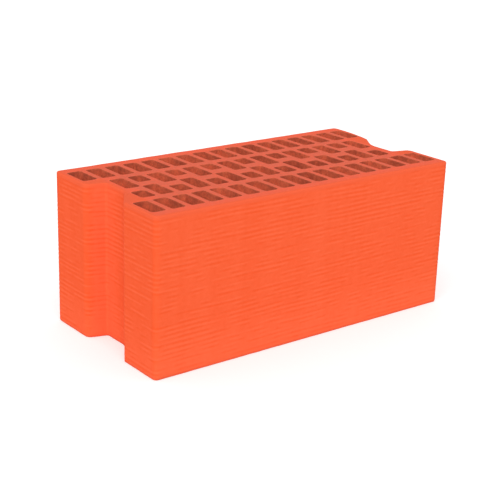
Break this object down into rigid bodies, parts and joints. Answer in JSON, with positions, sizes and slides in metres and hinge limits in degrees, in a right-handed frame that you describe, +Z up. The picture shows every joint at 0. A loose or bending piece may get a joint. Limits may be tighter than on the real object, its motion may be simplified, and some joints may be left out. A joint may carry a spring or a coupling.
{
  "type": "perforated clay block",
  "caption": "Large fired-clay walling block with through slots in staggered rows and a full-height mortar pocket in each end, bedded in mortar on its slotted faces.",
  "frame": {"origin": "centre of the bounding box in plan, at the height of the lower bed face", "axes": "+X along the length, from the end whose pocket has its steep flank at the back to the other end; +Y through the thickness to the back long face; +Z up along the slots"},
  "size_m": [0.51, 0.25, 0.219],
  "materials": {
    "fired_clay": "dry matt, unglazed orange-red fired clay"
  },
  "bodies": {
    "root": {"clay_block": "fired_clay"}
  },
  "joints": []
}
